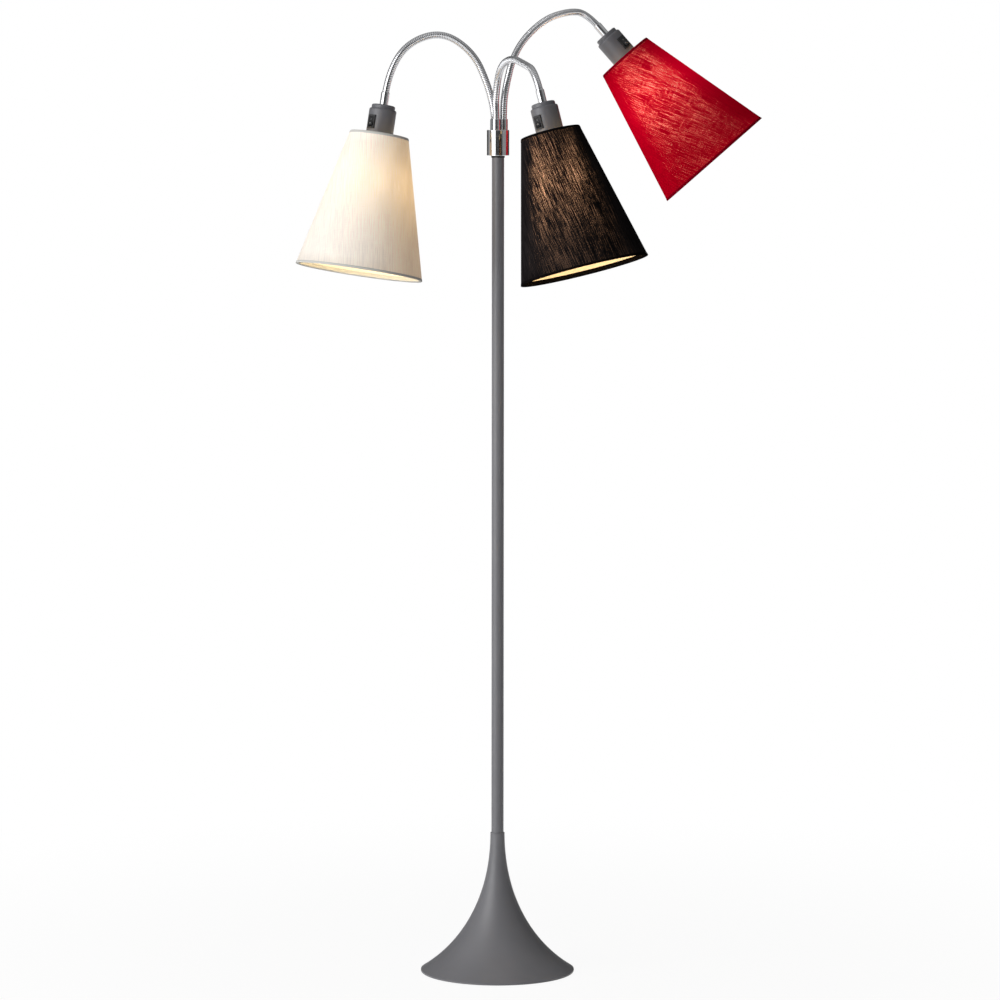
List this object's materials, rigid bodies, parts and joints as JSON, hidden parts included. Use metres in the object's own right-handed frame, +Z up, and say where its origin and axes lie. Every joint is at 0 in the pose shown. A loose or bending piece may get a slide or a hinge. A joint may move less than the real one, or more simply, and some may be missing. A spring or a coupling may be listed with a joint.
{
  "type": "tree floor lamp",
  "caption": "Tree floor lamp: trumpet base, straight pole, chrome collar and flexible necks that carry switched lampholders with cone linen shades.",
  "frame": {"origin": "on the floor, on the pole's axis, at the base's underside", "axes": "+Z up along the pole, -Y towards the front, +X to the right as seen from the front"},
  "size_m": [0.7225, 0.5001, 1.5036],
  "materials": {
    "grey_coat": "grey powder coat, satin",
    "iron": "rough casting",
    "felt": "pressed felt",
    "steel": "zinc-plated",
    "black_plastic": "moulded",
    "grey_plastic": "moulded, satin grey",
    "black_gloss": "moulded, gloss",
    "white_plastic": "moulded",
    "lead": "insulated lead",
    "chrome": "polished",
    "neck": "wound chrome-plated steel",
    "brass": "nickelled brass",
    "cap_metal": "rolled thread",
    "bulb": "opal, lit",
    "core": "heat-proof insulating moulding",
    "wire": "white coated wire",
    "linen_white": "linen on a translucent backing",
    "linen_black": "linen on a translucent backing",
    "linen_red": "linen on a translucent backing"
  },
  "bodies": {
    "stand": {"base_shell": "grey_coat", "base_weight": "iron", "base_pad": "felt", "base_washer": "steel", "base_nut": "steel", "cord_gland": "black_plastic", "pole_stud": "steel", "pole_plug": "steel", "pole_tube": "grey_coat", "pole_spacer": "black_plastic", "collar": "chrome", "collar_screw": "steel", "mains_lead": "lead", "lead_joiner": "black_plastic", "arm_leads": "lead"},
    "arm_white": {"lower_ferrule_white": "chrome", "neck_lower_white": "neck"},
    "bow_white": {"neck_upper_white": "neck"},
    "head_white": {"upper_ferrule_white": "chrome", "holder_cap_white": "grey_plastic", "holder_body_white": "grey_plastic", "switch_housing_white": "black_plastic", "socket_core_white": "core", "screw_shell_white": "brass", "bulb_cap_white": "cap_metal", "bulb_glass_white": "bulb", "shade_white": "linen_white", "shade_frame_white": "wire", "shade_ring_white": "white_plastic"},
    "rocker_white": {"switch_rocker_white": "black_gloss"},
    "arm_black": {"lower_ferrule_black": "chrome", "neck_lower_black": "neck"},
    "bow_black": {"neck_upper_black": "neck"},
    "head_black": {"upper_ferrule_black": "chrome", "holder_cap_black": "grey_plastic", "holder_body_black": "grey_plastic", "switch_housing_black": "black_plastic", "socket_core_black": "core", "screw_shell_black": "brass", "bulb_cap_black": "cap_metal", "bulb_glass_black": "bulb", "shade_black": "linen_black", "shade_frame_black": "wire", "shade_ring_black": "white_plastic"},
    "rocker_black": {"switch_rocker_black": "black_gloss"},
    "arm_red": {"lower_ferrule_red": "chrome", "neck_lower_red": "neck"},
    "bow_red": {"neck_upper_red": "neck"},
    "head_red": {"upper_ferrule_red": "chrome", "holder_cap_red": "grey_plastic", "holder_body_red": "grey_plastic", "switch_housing_red": "black_plastic", "socket_core_red": "core", "screw_shell_red": "brass", "bulb_cap_red": "cap_metal", "bulb_glass_red": "bulb", "shade_red": "linen_red", "shade_frame_red": "wire", "shade_ring_red": "white_plastic"},
    "rocker_red": {"switch_rocker_red": "black_gloss"}
  },
  "joints": [
    {"name": "swing_white", "type": "hinge", "parent": "stand", "child": "arm_white", "pos_m": [-0.00518, 0.00649, 1.315], "axis": [0, 0, 1], "range_deg": [-45, 20]},
    {"name": "bend_white", "type": "hinge", "parent": "arm_white", "child": "bow_white", "pos_m": [-0.02706, 0.00123, 1.4095], "axis": [0.2334, -0.9724, 0], "range_deg": [-25, 12], "deforming": ["neck_lower_white"]},
    {"name": "tilt_white", "type": "hinge", "parent": "bow_white", "child": "head_white", "pos_m": [-0.15366, -0.02822, 1.42492], "axis": [-0.2334, 0.9724, 0], "range_deg": [-15, 35], "deforming": ["neck_upper_white"]},
    {"name": "switch_white", "type": "hinge", "parent": "head_white", "child": "rocker_white", "pos_m": [-0.19268, -0.05293, 1.32796], "axis": [-0.7332, 0.6787, 0.0413], "range_deg": [-16, 0]},
    {"name": "swing_black", "type": "hinge", "parent": "stand", "child": "arm_black", "pos_m": [-0.00303, -0.00773, 1.315], "axis": [0, 0, 1], "range_deg": [-45, 25]},
    {"name": "bend_black", "type": "hinge", "parent": "arm_black", "child": "bow_black", "pos_m": [-0.00048, -0.01478, 1.39], "axis": [0.9403, 0.3404, 0], "range_deg": [-25, 12], "deforming": ["neck_lower_black"]},
    {"name": "tilt_black", "type": "hinge", "parent": "bow_black", "child": "head_black", "pos_m": [0.04745, -0.15552, 1.40892], "axis": [-0.9403, -0.3404, 0], "range_deg": [-15, 35], "deforming": ["neck_upper_black"]},
    {"name": "switch_black", "type": "hinge", "parent": "head_black", "child": "rocker_black", "pos_m": [0.06107, -0.20853, 1.32661], "axis": [-0.7264, 0.639, -0.2528], "range_deg": [-16, 0]},
    {"name": "swing_red", "type": "hinge", "parent": "stand", "child": "arm_red", "pos_m": [0.00821, 0.00124, 1.315], "axis": [0, 0, 1], "range_deg": [-25, 60]},
    {"name": "bend_red", "type": "hinge", "parent": "arm_red", "child": "bow_red", "pos_m": [0.0178, 0.00759, 1.4055], "axis": [-0.5519, 0.8339, 0], "range_deg": [-25, 12], "deforming": ["neck_lower_red"]},
    {"name": "tilt_red", "type": "hinge", "parent": "bow_red", "child": "head_red", "pos_m": [0.12412, 0.0837, 1.49775], "axis": [0.5519, -0.8339, 0], "range_deg": [-15, 35], "deforming": ["neck_upper_red"]},
    {"name": "switch_red", "type": "hinge", "parent": "head_red", "child": "rocker_red", "pos_m": [0.19558, 0.08074, 1.45126], "axis": [-0.5846, -0.6555, -0.4781], "range_deg": [-16, 0]}
  ]
}
